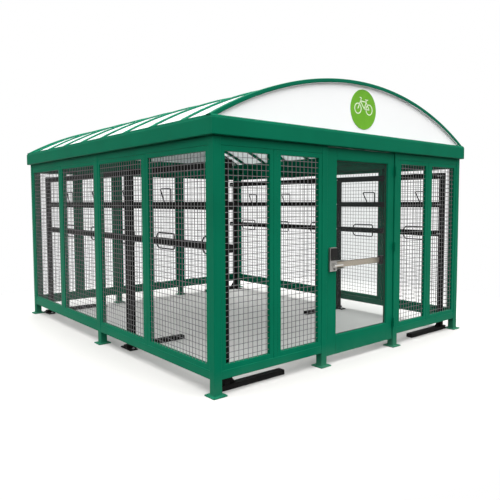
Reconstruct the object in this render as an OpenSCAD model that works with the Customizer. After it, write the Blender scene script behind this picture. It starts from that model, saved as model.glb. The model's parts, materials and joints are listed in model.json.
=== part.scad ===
// Enclosed bicycle shelter: welded steel post-and-rail walls with mesh
// panels, a glazed door, a barrel-vault sheet roof and two bicycle racks.
// Millimetres. Origin at the centre of the footprint on the ground,
// +X to the right seen from the door, +Y to the back, +Z up.

/* [Walls] */
// Width across the outer faces of the corner posts
wall_w = 3740; // [3300:10:4600]
// Depth across the outer faces of the corner posts
wall_d = 4528; // [3800:8:5600]
// Height of the posts above the ground
wall_h = 2136; // [1900:4:2500]
// Side of the square posts
post = 76; // [60:1:100]
// Height of the sill and head rails
rail_h = 76; // [50:1:100]
// Depth of the rails through the wall
rail_t = 70; // [40:1:76]
// Gap between the ground and the sill rails
foot_gap = 136; // [60:1:200]
// Width of the mullion between two panels
mullion_w = 45; // [30:1:60]

/* [Base plates] */
// Side of the square base plates
plate_w = 142; // [130:1:190]
// Thickness of the base plates
plate_t = 10; // [6:1:16]
// Distance between anchor holes
bolt_pitch = 106; // [100:1:120]
// Diameter of the anchor holes
bolt_hole = 14; // [10:1:16]

/* [Mesh panels] */
// Width of the welded panel frame's members
frame_w = 43; // [25:1:60]
// Depth of the panel frame
frame_t = 40; // [25:1:60]
// How far the panel frames sit behind the post faces
frame_set = 5; // [0:1:12]
// Distance between the heavy bars of the mesh
bar_pitch = 203.2; // [101.6:50.8:304.8]
// Thickness of the mesh bars
bar_t = 4; // [3:0.5:8]

/* [Fascia beams] */
// Height of the fascia beams
fascia_h = 142; // [100:1:200]
// How far the beams stand out beyond the walls
overhang = 36; // [20:1:80]

/* [Roof] */
// Rise of the vault above the fascia beams
roof_rise = 532; // [400:4:800]
// Number of roof sheets between the end arches
sheets = 9; // [5:1:12]
// Depth of the end arches' face
arch_h = 38; // [30:1:60]
// Width of the end arches along the roof
arch_t = 60; // [40:1:80]
// How far the end arches stand out from the walls
arch_out = 10; // [0:1:20]
// Distance from the outer face of the front wall to the first sheet joint
strip_from = 446; // [300:1:500]
// Distance from the last sheet joint to the outer face of the back wall
strip_to = 282; // [200:1:500]
// Width of the roof ribs
rib_w = 30; // [20:1:50]
// Height of the roof ribs under the sheet
rib_h = 40; // [25:1:60]
// Width of the cap strips over the sheet joints
cap_w = 50; // [30:1:70]
// Thickness of the cap strips
cap_t = 20; // [5:1:24]
// Thickness of the roof sheets
sheet_t = 10; // [6:1:16]
// Thickness of the gable panels
gable_t = 6; // [4:1:10]
// How far the gable panels sit behind the face of the arch
gable_set = 24; // [10:1:30]

/* [Round sign] */
// Gap between the sign and the arch above it
sign_over = 32; // [10:1:60]
// Gap between the sign and the fascia below it
sign_under = 62; // [40:1:120]
// Thickness of the sign
sign_t = 4; // [2:1:8]

/* [Door] */
// Clear width between the door posts
door_clear = 1068; // [880:1:1300]
// Gap on the hinge side
hinge_gap = 5; // [5:0.5:6]
// Gap on the latch side
latch_gap = 9; // [8:0.5:12]
// Gap under the fascia
head_gap = 8; // [6:1:12]
// Gap between the leaf and the ground
door_foot_gap = 90; // [40:1:130]
// Thickness of the leaf
leaf_t = 44; // [38:1:50]
// How far the leaf sits behind the post faces
leaf_set = 12; // [10:1:16]
// Width of the latch stile
stile_w = 132; // [126:1:150]
// Width of the hinge stile
hinge_stile = 108; // [100:1:150]
// Height of the top rail
top_rail = 115; // [100:1:160]
// Height of the bottom rail
bottom_rail = 186; // [150:1:260]
// Thickness of the glass
glass_t = 8; // [6:1:12]
// How far the glass edges sit in the frame
glass_bite = 12; // [8:1:16]

/* [Hinges] */
// Diameter of the hinge knuckles
knuckle_d = 18; // [16:1:20]
// Diameter of the hinge pins
pin_d = 10; // [8:1:12]
// Length of each hinge
hinge_l = 100; // [80:2:140]
// Thickness of the hinge plates
hinge_t = 2; // [1.5:0.5:2]
// Distance of the hinge axis in front of the post faces
hinge_out = 12; // [11:1:14]

/* [Lock and lever] */
// Width of the lock plate
lock_w = 104; // [90:1:108]
// Height of the lock plate
lock_h = 247; // [220:1:300]
// Thickness of the lock plate
lock_t = 22; // [6:1:22]
// Height of the lever's axis above the ground
lever_z = 984; // [900:1:1100]
// Length of the lever's grip
grip_l = 130; // [100:1:150]
// Diameter of the lever's shaft
lever_shaft = 16; // [12:1:18]

/* [Push bar] */
// Height of the push bar's centre above the ground
bar_z = 972; // [900:1:1100]
// Travel of the push bar
bar_travel = 12; // [8:1:14]
// Distance from the edges of the leaf to the push bar's end cases
push_set = 72; // [50:1:100]

/* [Bicycle racks] */
// Gap between the side wall and a rack's heel plates
rack_gap = 42; // [40:1:100]
// Side of the rack uprights
upright = 60; // [50:1:80]
// Distance from the outer end of a floor bar to its upright
upright_set = 42; // [12:1:60]
// Height of the rack uprights
upright_h = 1960; // [1700:5:2000]
// Length of the floor bars
foot_l = 730; // [600:5:900]
// Width of the floor bars
foot_w = 80; // [60:1:90]
// Height of the floor bars
foot_h = 45; // [35:1:60]
// Length of the heel plates along the wall
heel_l = 236; // [200:2:260]
// Height of the rack rails
rack_rail_h = 70; // [50:1:80]
// Depth of the rack rails
rack_rail_t = 40; // [30:1:50]
// Distance from the outer face of the front wall to the front stand
front_stand = 120; // [100:1:200]
// Distance from the outer face of the front wall to the middle stand
middle_stand = 1855; // [1700:5:2300]
// Distance from the outer face of the back wall to the rear stand
rear_stand = 150; // [120:1:300]
// Wheel holders on each rack
holders = 5; // [2:1:5]
// Distance from the outer face of the front wall to the first holder
holder_from = 259; // [200:1:300]
// Distance from the start of the last holder to the back wall
holder_to = 869; // [600:1:900]
// Thickness of the holder rods
rod = 14; // [10:1:18]
// Length of the wheel loops along the rail
loop_l = 370; // [300:5:420]
// Height of the wheel loops
loop_h = 160; // [140:5:200]
// Distance of the wheel loops from the rail
loop_out = 33; // [25:1:60]
// Height of the hooks above the middle of their rail
hook_h = 166; // [120:2:180]
// Length of the hooks along the rail
hook_l = 205; // [160:5:240]

/* [Hidden] */
$fn = 96;

GREEN = [0.08, 0.42, 0.30];
WIRE = [0.55, 0.57, 0.57];
WHITE = [0.93, 0.94, 0.94];
BLACK = [0.08, 0.08, 0.09];
STEEL = [0.72, 0.71, 0.67];

// Walls: left and front faces, bay widths and panel height
left = -wall_w / 2;
front = -wall_d / 2;
front_bay = (wall_w - 4 * post - door_clear) / 2;
side_bay = (wall_d - 3 * post) / 2;
rail_set = (post - rail_t) / 2;
sill_top = foot_gap + rail_h;
head_z = wall_h - rail_h;
panel_h = head_z - sill_top;
side_post_y = front + post + side_bay;
bar_bite = 8;

// Vault: its outer radius and the height of its centre line
fascia_t = overhang + post;
fascia_top = wall_h + fascia_h;
half_span = wall_w / 2 + overhang;
roof_r = (half_span * half_span + roof_rise * roof_rise) / (2 * roof_rise);
vault_z = fascia_top + roof_rise - roof_r;
vault_fn = 256;
tip_cut = 2;
sign_d = roof_rise - arch_h - sign_over - sign_under;
arch_y = front - arch_out;
sheet_r = roof_r - cap_t;
rib_r = sheet_r - sheet_t;
rib_pitch = (wall_d - strip_from - strip_to) / (sheets - 2);

// Door: opening, leaf and hinge axis
door_left = -door_clear / 2;
door_right = door_clear / 2;
leaf_x = door_left + latch_gap;
leaf_w = door_clear - latch_gap - hinge_gap;
leaf_h = wall_h - head_gap - door_foot_gap;
leaf_y = front + leaf_set;
glass_w = leaf_w - stile_w - hinge_stile;
glass_h = leaf_h - top_rail - bottom_rail;
glass_z = door_foot_gap + bottom_rail;
hinge_x = door_right - hinge_gap / 2;
hinge_y = front - hinge_out;
hinge_heights = [door_foot_gap + 190, wall_h / 2 + 50, wall_h - 200];
knuckle_r = knuckle_d / 2;
pin_run = 0.05;
knuckle_gap = 0.5;

// Lock: plate on the latch stile, lever in front of it
lock_x = leaf_x + 18;
lock_z = lever_z - 71;
lock_y = leaf_y - lock_t;
lever_x = lock_x + lock_w / 2;
rose_d = 50;
rose_t = 6;
grip_h = 20;
grip_t = 12;
grip_y = front - overhang + 2;
reader_w = 84;
reader_h = 120;
reader_t = 5;

// Push bar: end cases on the inside of the leaf, the bar between them
case_w = 70;
case_h = 86;
case_t = 60;
push_h = 60;
push_t = 28;
push_bite = 10;
push_run = 0.5;
inside_y = leaf_y + leaf_t;
push_x = leaf_x + leaf_w / 2;
push_l = leaf_w - 2 * (push_set + case_w);
push_y = inside_y + case_t - push_t - 4;

// Racks: distances from the outer face of the side wall
heel_x = post + rack_gap;
upright_x = heel_x + upright_set;
rack_rail_x = upright_x + upright;
heel_w = 88;
heel_t = 12;
stand_at = [front_stand, middle_stand, wall_d - rear_stand];
rack_rail_at = [1210, 1570, 1925];
rack_rail_from = 90;
holder_pitch = (wall_d - holder_from - holder_to) / (holders - 1);
loop_tip = 50;
hook_foot = 75;

// ---- placing ----

// Draws along a wall: x runs along it, y inwards from its outer face
module on_left(from) {
    translate([left, front + from, 0]) mirror([1, -1, 0]) children();
}

module on_right(from) {
    translate([-left, front + from, 0]) rotate([0, 0, 90]) children();
}

module on_front(from) {
    translate([left + from, front, 0]) children();
}

module on_back(from) {
    translate([-left - from, -front, 0]) rotate([0, 0, 180]) children();
}

// Extrudes an upright outline along +Y
module along_y(from, length) {
    translate([0, from + length, 0]) rotate([90, 0, 0])
        linear_extrude(length) children();
}

// ---- walls ----

// Square post on a drilled base plate, placed by its corner
module footed_post(x, y) {
    color(GREEN) translate([x, y, 0]) {
        translate([0, 0, plate_t]) cube([post, post, wall_h - plate_t]);
        translate([post / 2, post / 2, 0]) base_plate();
    }
}

module base_plate() {
    difference() {
        translate([-plate_w / 2, -plate_w / 2, 0])
            cube([plate_w, plate_w, plate_t]);
        for (x = [-1, 1], y = [-1, 1])
            translate([x * bolt_pitch / 2, y * bolt_pitch / 2, -1])
                cylinder(h = plate_t + 2, d = bolt_hole);
    }
}

// Sill and head rail of one bay
module bay_rails(bay) {
    color(GREEN) for (z = [foot_gap, head_z])
        translate([0, rail_set, z]) cube([bay, rail_t, rail_h]);
}

module bay_mullion(bay) {
    color(GREEN) translate([(bay - mullion_w) / 2, rail_set, sill_top])
        cube([mullion_w, rail_t, panel_h]);
}

// Two framed mesh panels, one on each side of the bay's mullion
module bay_mesh(bay) {
    w = (bay - mullion_w) / 2;
    for (x = [0, bay - w])
        translate([x, frame_set, sill_top]) mesh_panel(w, panel_h);
}

module mesh_panel(w, h) {
    open_w = w - 2 * frame_w;
    open_h = h - 2 * frame_w;
    color(GREEN) difference() {
        cube([w, frame_t, h]);
        translate([frame_w, -1, frame_w]) cube([open_w, frame_t + 2, open_h]);
    }
    color(WIRE) translate([0, frame_set, 0]) {
        for (x = bar_places(open_w))
            translate([frame_w + x - bar_t / 2, 0, frame_w - bar_bite])
                cube([bar_t, bar_t, open_h + 2 * bar_bite]);
        for (z = bar_places(open_h))
            translate([frame_w - bar_bite, 0, frame_w + z - bar_t / 2])
                cube([open_w + 2 * bar_bite, bar_t, bar_t]);
    }
}

// Centred row of bars across an opening
function bar_places(open) =
    let (n = round(open / bar_pitch))
    [for (i = [0 : n - 1]) open / 2 + (i - (n - 1) / 2) * bar_pitch];

module front_left_corner_post() { footed_post(left, front); }
module door_latch_post() { footed_post(door_left - post, front); }
module door_hinge_post() { footed_post(door_right, front); }
module front_right_corner_post() { footed_post(-left - post, front); }
module left_middle_post() { footed_post(left, side_post_y); }
module right_middle_post() { footed_post(-left - post, side_post_y); }
module back_left_corner_post() { footed_post(left, -front - post); }
module back_left_inner_post() { footed_post(door_left - post, -front - post); }
module back_right_inner_post() { footed_post(door_right, -front - post); }
module back_right_corner_post() { footed_post(-left - post, -front - post); }

// Where the bays of each wall start
front_starts = [post, wall_w - post - front_bay];
side_starts = [post, 2 * post + side_bay];
back_middle_start = 2 * post + front_bay;

module front_rails() {
    for (from = front_starts) on_front(from) bay_rails(front_bay);
}

module left_rails() {
    for (from = side_starts) on_left(from) bay_rails(side_bay);
}

module right_rails() {
    for (from = side_starts) on_right(from) bay_rails(side_bay);
}

module back_rails() {
    for (from = front_starts) on_back(from) bay_rails(front_bay);
    on_back(back_middle_start) bay_rails(door_clear);
}

module front_mullions() {
    for (from = front_starts) on_front(from) bay_mullion(front_bay);
}

module left_mullions() {
    for (from = side_starts) on_left(from) bay_mullion(side_bay);
}

module right_mullions() {
    for (from = side_starts) on_right(from) bay_mullion(side_bay);
}

module back_mullions() {
    for (from = front_starts) on_back(from) bay_mullion(front_bay);
    on_back(back_middle_start) bay_mullion(door_clear);
}

module front_left_mesh() { on_front(front_starts[0]) bay_mesh(front_bay); }
module front_right_mesh() { on_front(front_starts[1]) bay_mesh(front_bay); }
module left_front_mesh() { on_left(side_starts[0]) bay_mesh(side_bay); }
module left_rear_mesh() { on_left(side_starts[1]) bay_mesh(side_bay); }
module right_front_mesh() { on_right(side_starts[0]) bay_mesh(side_bay); }
module right_rear_mesh() { on_right(side_starts[1]) bay_mesh(side_bay); }
module back_left_mesh() { on_back(front_starts[1]) bay_mesh(front_bay); }
module back_middle_mesh() { on_back(back_middle_start) bay_mesh(door_clear); }
module back_right_mesh() { on_back(front_starts[0]) bay_mesh(front_bay); }

// ---- fascia beams ----

// Beam over one wall, mitred to its neighbours at both ends. It is drawn
// about the middle of the wall, with its face towards -Y.
module mitred_beam(width, depth) {
    half = width / 2 + overhang;
    color(GREEN) translate([0, -depth / 2 - overhang, wall_h])
        linear_extrude(fascia_h) polygon([[-half, 0], [half, 0],
            [half - fascia_t, fascia_t], [fascia_t - half, fascia_t]]);
}

module front_fascia() { mitred_beam(wall_w, wall_d); }
module right_fascia() { rotate([0, 0, 90]) mitred_beam(wall_d, wall_w); }
module back_fascia() { rotate([0, 0, 180]) mitred_beam(wall_w, wall_d); }
module left_fascia() { rotate([0, 0, -90]) mitred_beam(wall_d, wall_w); }

// ---- roof ----

// Half the width of the vault at the fascia top, for the curve of radius r
function vault_half(r) = sqrt(r * r - pow(fascia_top - vault_z, 2));

// Outline of the vault under the curve of radius r. It is cut level with
// the fascia top, and its two sharp tips are cut off.
module vault_outline(r) {
    half = vault_half(r) - tip_cut;
    intersection() {
        translate([0, vault_z]) circle(r, $fn = vault_fn);
        translate([-half, fascia_top]) square([2 * half, roof_rise + 1]);
    }
}

// Outline of a curved band of the vault
module vault_band(r, t) {
    difference() {
        vault_outline(r);
        translate([0, vault_z]) circle(r - t, $fn = vault_fn);
    }
}

module end_arch(y) {
    color(GREEN) along_y(y, arch_t) vault_band(roof_r, arch_h);
}

module end_gable(y) {
    color(WHITE) along_y(y, gable_t) vault_outline(roof_r - arch_h);
}

// Bands over or under every joint between two sheets
module joint_bands(r, w, t) {
    color(GREEN) for (i = [0 : sheets - 2])
        along_y(front + strip_from + i * rib_pitch - w / 2, w)
            vault_band(r, t);
}

module front_arch() { end_arch(arch_y); }
module back_arch() { end_arch(-arch_y - arch_t); }
module roof_ribs() { joint_bands(rib_r, rib_w, rib_h); }
module cap_strips() { joint_bands(roof_r, cap_w, cap_t); }

module roof_sheet() {
    color(WHITE) along_y(arch_y + arch_t, -2 * (arch_y + arch_t))
        vault_band(sheet_r, sheet_t);
}

module front_gable() { end_gable(arch_y + gable_set); }
module back_gable() { end_gable(-arch_y - gable_set - gable_t); }

module round_sign() {
    color([0.43, 0.70, 0.13])
        translate([0, arch_y + gable_set,
            fascia_top + sign_under + sign_d / 2])
        rotate([90, 0, 0]) cylinder(h = sign_t, d = sign_d);
}

// ---- door ----

module door_leaf() {
    color(GREEN) difference() {
        translate([leaf_x, leaf_y, door_foot_gap])
            cube([leaf_w, leaf_t, leaf_h]);
        translate([leaf_x + stile_w, leaf_y - 1, glass_z])
            cube([glass_w, leaf_t + 2, glass_h]);
        glass_pane(0.3);
    }
}

module door_glass() {
    color([0.75, 0.80, 0.80, 0.4]) glass_pane(0);
}

// The pane, or the groove it sits in when grown by a running gap
module glass_pane(grow) {
    bite = glass_bite + grow;
    translate([leaf_x + stile_w - bite,
            leaf_y + (leaf_t - glass_t) / 2 - grow, glass_z - bite])
        cube([glass_w + 2 * bite, glass_t + 2 * grow, glass_h + 2 * bite]);
}

// One half of a butt hinge: its plate beside the axis and its knuckles.
// side is 1 for the post's half and -1 for the leaf's half.
module hinge_half(side, spans) {
    reach = leaf_set + leaf_t - 6 + hinge_out;
    inner = side > 0 ? hinge_gap / 2 - hinge_t : -hinge_gap / 2;
    translate([inner, knuckle_r + 1, 0])
        cube([hinge_t, reach - knuckle_r - 1, hinge_l]);
    for (span = spans) translate([0, 0, span[0]]) {
        cylinder(h = span[1] - span[0], r = knuckle_r);
        translate([inner, 0, 0])
            cube([hinge_t, knuckle_r + 2, span[1] - span[0]]);
    }
}

module at_hinges() {
    for (z = hinge_heights) translate([hinge_x, hinge_y, z - hinge_l / 2])
        children();
}

jamb_spans = [[0, hinge_l / 3], [2 * hinge_l / 3, hinge_l]];
leaf_spans = [[hinge_l / 3 + knuckle_gap, 2 * hinge_l / 3 - knuckle_gap]];

module jamb_hinges() {
    color(STEEL) at_hinges() {
        hinge_half(1, jamb_spans);
        cylinder(h = hinge_l, d = pin_d);
    }
}

module leaf_hinges() {
    color(STEEL) at_hinges() difference() {
        hinge_half(-1, leaf_spans);
        translate([0, 0, -1])
            cylinder(h = hinge_l + 2, r = pin_d / 2 + pin_run);
    }
}

module lock_plate() {
    color(STEEL) difference() {
        union() {
            translate([lock_x, lock_y, lock_z]) cube([lock_w, lock_t, lock_h]);
            translate([lever_x, lock_y, lever_z]) rotate([90, 0, 0])
                cylinder(h = rose_t, d = rose_d);
        }
        translate([lever_x, leaf_y + 1, lever_z]) rotate([90, 0, 0])
            cylinder(h = rose_t + lock_t + 2, r = lever_shaft / 2 + pin_run);
    }
}

module key_reader() {
    color(BLACK) translate([lever_x - reader_w / 2, lock_y - reader_t,
            lock_z + lock_h - reader_h - 8])
        cube([reader_w, reader_t, reader_h]);
}

module lever_handle() {
    color(STEEL) {
        translate([lever_x, leaf_y - 1, lever_z]) rotate([90, 0, 0])
            cylinder(h = leaf_y - 1 - grip_y, d = lever_shaft);
        translate([lever_x - grip_h / 2, grip_y, lever_z - grip_h / 2])
            cube([grip_l, grip_t, grip_h]);
    }
}

module push_bar_cases() {
    color(STEEL) difference() {
        for (side = [-1, 1])
            translate([push_x + side * (push_l + case_w) / 2 - case_w / 2,
                    inside_y, bar_z - case_h / 2])
                cube([case_w, case_t, case_h]);
        translate([push_x - push_l / 2 - push_bite - 1,
                push_y - bar_travel - push_run,
                bar_z - push_h / 2 - push_run])
            cube([push_l + 2 * push_bite + 2, bar_travel + push_t
                + 2 * push_run, push_h + 2 * push_run]);
    }
}

module push_bar() {
    color(STEEL) translate([push_x - push_l / 2 - push_bite, push_y,
            bar_z - push_h / 2])
        cube([push_l + 2 * push_bite, push_t, push_h]);
}

// ---- bicycle racks ----

// Draws for the left rack, or mirrored for the right one
module rack_side(side) {
    scale_x = side == "left" ? 0 : 1;
    color(BLACK) mirror([scale_x, 0, 0]) translate([left, front, 0])
        children();
}

module rack_stands() {
    for (i = [0 : 2]) {
        y = stand_at[i];
        upright_d = i == 1 ? 2 * upright : upright;
        translate([heel_x, y - foot_w / 2, 0])
            cube([foot_l, foot_w, foot_h]);
        translate([upright_x, y - upright_d / 2, 0])
            cube([upright, upright_d, upright_h]);
        translate([heel_x, max(y - heel_l / 2, post / 2 + plate_w / 2 + 4), 0])
            cube([heel_w, heel_l / 2, heel_t]);
        translate([heel_x, y, 0]) cube([heel_w, heel_l / 2, heel_t]);
    }
}

module rack_rails() {
    for (z = rack_rail_at)
        translate([rack_rail_x, rack_rail_from, z - rack_rail_h / 2])
            cube([rack_rail_t, wall_d - 2 * rack_rail_from, rack_rail_h]);
}

// Extrudes an upright outline, drawn as [y, z], along +X
module along_x(from, length) {
    translate([from, 0, 0]) rotate([90, 0, 90])
        linear_extrude(length) children();
}

// Closed ring of rod whose middle line runs through the points
module rod_ring(points) {
    difference() {
        offset(delta = rod / 2) polygon(points);
        offset(delta = -rod / 2) polygon(points);
    }
}

// Long pointed loop, held off the lowest rail by a stub at each end
module wheel_loop(face) {
    high = loop_h / 2;
    along_x(face + loop_out, rod)
        rod_ring([[0, -high], [0, high], [loop_l - loop_tip, high],
            [loop_l, 0], [loop_l - loop_tip, -high]]);
    for (y = [-rod / 2, loop_l - rod / 2])
        translate([face, y, -rod / 2]) cube([loop_out + rod / 2, rod, rod]);
}

// Hook that stands up from the face of the middle rail
module wheel_hook(face) {
    shoulder = rack_rail_h / 2;
    along_x(face, rod)
        rod_ring([[0, 0], [0, hook_h], [hook_l, hook_h],
            [hook_l - hook_foot, shoulder], [hook_l - hook_foot, 0]]);
}

module wheel_holders() {
    face = rack_rail_x + rack_rail_t;
    for (i = [0 : holders - 1])
        translate([0, holder_from + i * holder_pitch, 0]) {
            translate([0, 0, rack_rail_at[0]]) wheel_loop(face);
            translate([0, 0, rack_rail_at[1]]) wheel_hook(face);
        }
}

module left_rack_stands() { rack_side("left") rack_stands(); }
module left_rack_rails() { rack_side("left") rack_rails(); }
module left_wheel_holders() { rack_side("left") wheel_holders(); }
module right_rack_stands() { rack_side("right") rack_stands(); }
module right_rack_rails() { rack_side("right") rack_rails(); }
module right_wheel_holders() { rack_side("right") wheel_holders(); }

front_left_corner_post();
door_latch_post();
door_hinge_post();
front_right_corner_post();
left_middle_post();
right_middle_post();
back_left_corner_post();
back_left_inner_post();
back_right_inner_post();
back_right_corner_post();
front_rails();
left_rails();
right_rails();
back_rails();
front_mullions();
left_mullions();
right_mullions();
back_mullions();
front_left_mesh();
front_right_mesh();
left_front_mesh();
left_rear_mesh();
right_front_mesh();
right_rear_mesh();
back_left_mesh();
back_middle_mesh();
back_right_mesh();
front_fascia();
left_fascia();
right_fascia();
back_fascia();
front_arch();
back_arch();
roof_ribs();
roof_sheet();
cap_strips();
front_gable();
back_gable();
round_sign();
door_leaf();
door_glass();
jamb_hinges();
leaf_hinges();
lock_plate();
key_reader();
lever_handle();
push_bar_cases();
push_bar();
left_rack_stands();
left_rack_rails();
left_wheel_holders();
right_rack_stands();
right_rack_rails();
right_wheel_holders();
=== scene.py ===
import json
import math

import bmesh
import bpy
from mathutils import Matrix, Vector


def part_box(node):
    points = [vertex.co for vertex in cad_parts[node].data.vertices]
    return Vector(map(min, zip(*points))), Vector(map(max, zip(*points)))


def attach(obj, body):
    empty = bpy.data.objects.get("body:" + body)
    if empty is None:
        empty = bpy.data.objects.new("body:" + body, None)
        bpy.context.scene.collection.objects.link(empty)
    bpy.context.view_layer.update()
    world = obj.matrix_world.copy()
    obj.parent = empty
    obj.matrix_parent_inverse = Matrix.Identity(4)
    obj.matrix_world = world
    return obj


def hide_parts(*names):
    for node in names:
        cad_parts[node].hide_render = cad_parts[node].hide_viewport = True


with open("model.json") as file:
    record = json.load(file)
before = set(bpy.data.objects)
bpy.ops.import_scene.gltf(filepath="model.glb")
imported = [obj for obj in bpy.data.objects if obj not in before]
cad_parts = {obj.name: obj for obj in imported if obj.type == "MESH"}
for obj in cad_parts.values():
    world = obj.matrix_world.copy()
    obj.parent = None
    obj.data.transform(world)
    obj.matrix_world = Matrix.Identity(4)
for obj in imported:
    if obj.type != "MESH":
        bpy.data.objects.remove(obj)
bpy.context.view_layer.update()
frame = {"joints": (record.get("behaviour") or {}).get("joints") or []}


# ---- Posts ----
# Ten square steel tubes carry the roof, each welded all round its foot to a
# drilled base plate. Everything green is blasted and powder coated in one
# colour after welding, so the coat has a fine orange peel and no seams.

class Tone:
    """One output of a node, which can be added, scaled and mixed."""

    def __init__(self, tree, socket=None):
        self.tree = tree
        self.socket = socket

    def make(self, kind, inputs=None, output=0, **settings):
        """Adds a node with its settings first, then its values or links."""
        node = self.tree.nodes.new(kind)
        for name, value in settings.items():
            setattr(node, name, value)
        for name, value in (inputs or {}).items():
            self.feed(node.inputs[name], value)
        return Tone(self.tree, node.outputs[output])

    def feed(self, socket, value):
        if isinstance(value, Tone):
            self.tree.links.new(value.socket, socket)
        else:
            socket.default_value = value

    def maths(self, operation, *values):
        inputs = dict(enumerate((self,) + values))
        return self.make("ShaderNodeMath", inputs, operation=operation)

    def __add__(self, other):
        return self.maths("ADD", other)

    def __mul__(self, other):
        return self.maths("MULTIPLY", other)

    def __sub__(self, other):
        return self.maths("SUBTRACT", other)

    def __rsub__(self, other):
        return (self * -1) + other

    __radd__ = __add__
    __rmul__ = __mul__

    def mix(self, first, second):
        """Colour that goes from first to second as this value rises."""
        return self.make("ShaderNodeMix", {0: self, 6: first, 7: second}, 2, data_type="RGBA")

    def between(self, low, high):
        """This value from 0 to 1 as it goes from low to high."""
        return self.make("ShaderNodeMapRange", {"Value": self, "From Min": low, "From Max": high})


def finish_of(name, colour, roughness, metallic=0.0, specular=0.5):
    """A new material's tree, its object coordinates and its main shader."""
    material = bpy.data.materials.new(name)
    material.use_nodes = True
    shader = material.node_tree.nodes["Principled BSDF"]
    shader.inputs["Base Color"].default_value = colour
    shader.inputs["Roughness"].default_value = roughness
    shader.inputs["Metallic"].default_value = metallic
    shader.inputs["Specular IOR Level"].default_value = specular
    tone = Tone(material.node_tree)
    place = tone.make("ShaderNodeTexCoord", output="Object")
    return material, tone, place, shader


def tinted(colour, times):
    """A colour made darker or lighter, still opaque."""
    return tuple(min(part * times, 1.0) for part in colour[:3]) + (1.0,)


def noise(tone, place, scale, detail=3.0, roughness=0.5):
    return tone.make("ShaderNodeTexNoise", {
        "Vector": place, "Scale": scale, "Detail": detail,
        "Roughness": roughness})


def relief(tone, shader, height, strength, distance):
    """Bumps a shader by a height that varies over the surface."""
    bump = tone.make("ShaderNodeBump", {
        "Height": height, "Strength": strength, "Distance": distance})
    tone.feed(shader.inputs["Normal"], bump)


def powder_coat(name, colour, dusty, specular, roughness):
    """Powder coat: even colour, orange peel, and a little dust low down."""
    material, tone, place, shader = finish_of(name, colour, roughness, specular=specular)
    cloud = noise(tone, place, 2.3)
    fleck = noise(tone, place, 240.0, 1.0)
    height = tone.make("ShaderNodeSeparateXYZ", {"Vector": place}, output="Z")
    splash = (1 - height.between(0.0, 0.22)) * cloud.between(0.3, 0.75) * 0.30
    shade = cloud.between(0.25, 0.75) * 0.696 + fleck.between(0.3, 0.7) * 0.29
    coat = shade.mix(tinted(colour, 0.86), tinted(colour, 1.10))
    tone.feed(shader.inputs["Base Color"], splash.mix(coat, dusty))
    tone.feed(shader.inputs["Roughness"], cloud * 0.10 + (roughness - 0.05) + splash * 0.5)
    peel = noise(tone, place, 620.0, 2.0)
    relief(tone, shader, peel, 0.10, 0.0006)
    return material


green_paint = powder_coat("green_powder_coat", (0.0012, 0.142, 0.074, 1.0),
                          (0.16, 0.22, 0.17, 1.0), 0.035, 0.48)


def rounded(u0, v0, u1, v1, radius, steps=3):
    """Outline of a rectangle with round corners."""
    corners = [(u1 - radius, v1 - radius, 0), (u0 + radius, v1 - radius, 90),
               (u0 + radius, v0 + radius, 180), (u1 - radius, v0 + radius, 270)]
    points = []
    for u, v, start in corners:
        for i in range(steps + 1):
            angle = math.radians(start + 90 * i / steps)
            points.append((u + radius * math.cos(angle), v + radius * math.sin(angle)))
    return points


def skin(mesh, rings, looped=False):
    """Joins rings of points with faces, and closes the row in a loop or with
    a face at each end."""
    made = [[mesh.verts.new(point) for point in ring] for ring in rings]
    for ring, following in zip(made, made[1:] + made[:looped]):
        for i in range(len(ring)):
            j = (i + 1) % len(ring)
            mesh.faces.new((ring[i], ring[j], following[j], following[i]))
    if not looped:
        mesh.faces.new(made[0])
        mesh.faces.new(made[-1])


def bar(mesh, outline, start, end, place, steps=1):
    """Draws an outline out from start to end. Both may be functions of the
    outline's point, for an end that is cut at an angle."""
    def at(point, part):
        low, high = (limit(*point) if callable(limit) else limit for limit in (start, end))
        return place(*point, low + (high - low) * part)

    skin(mesh, [[at(point, i / steps) for point in outline] for i in range(steps + 1)])


def upright(x, y, z):
    """Places an outline of (x, y) along z."""
    return Vector((x, y, z))


def smooth_edges(mesh, sharp=0.6, step=6.0):
    """Shades round corners smoothly and leaves the flats flat."""
    bmesh.ops.recalc_face_normals(mesh, faces=mesh.faces)
    for face in mesh.faces:
        face.smooth = True
    for edge in mesh.edges:
        if len(edge.link_faces) == 2:
            areas = [face.calc_area() for face in edge.link_faces]
            edge.smooth = (edge.calc_face_angle(0) < sharp and max(areas) < step * min(areas))


def make_piece(name, mesh, material, body, slot, *replaced):
    """Turns a finished mesh into a piece that rides on a body."""
    if isinstance(mesh, bmesh.types.BMesh):
        smooth_edges(mesh)
        data = bpy.data.meshes.new(name)
        mesh.to_mesh(data)
        mesh.free()
    else:
        data = mesh
    data.name = name
    data.materials.clear()
    data.materials.append(material)
    piece = bpy.data.objects.new(name, data)
    bpy.context.scene.collection.objects.link(piece)
    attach(piece, body)
    if replaced:
        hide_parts(*replaced)
    return piece


def steel(name, mesh, *replaced, body="shelter"):
    """A finished piece of the green painted steel."""
    return make_piece(name, mesh, green_paint, body, "green_steel", *replaced)


def add_mesh(mesh, data, matrix=Matrix.Identity(4)):
    """Adds a plain mesh, moved by a matrix, to a mesh under construction."""
    data.transform(matrix)
    mesh.from_mesh(data)
    bpy.data.meshes.remove(data)


def new_tree(name, **sizes):
    """Starts a Geometry Nodes tree with named inputs for its sizes."""
    tree = bpy.data.node_groups.new(name, "GeometryNodeTree")
    face = tree.interface
    face.new_socket("Geometry", in_out="INPUT", socket_type="NodeSocketGeometry")
    for size, kind in sizes.items():
        face.new_socket(size, in_out="INPUT", socket_type="NodeSocket" + kind)
    face.new_socket("Geometry", in_out="OUTPUT", socket_type="NodeSocketGeometry")
    source = tree.nodes.new("NodeGroupInput")
    given = {socket.name: Tone(tree, socket) for socket in source.outputs if socket.name}
    return tree, Tone(tree), given


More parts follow.
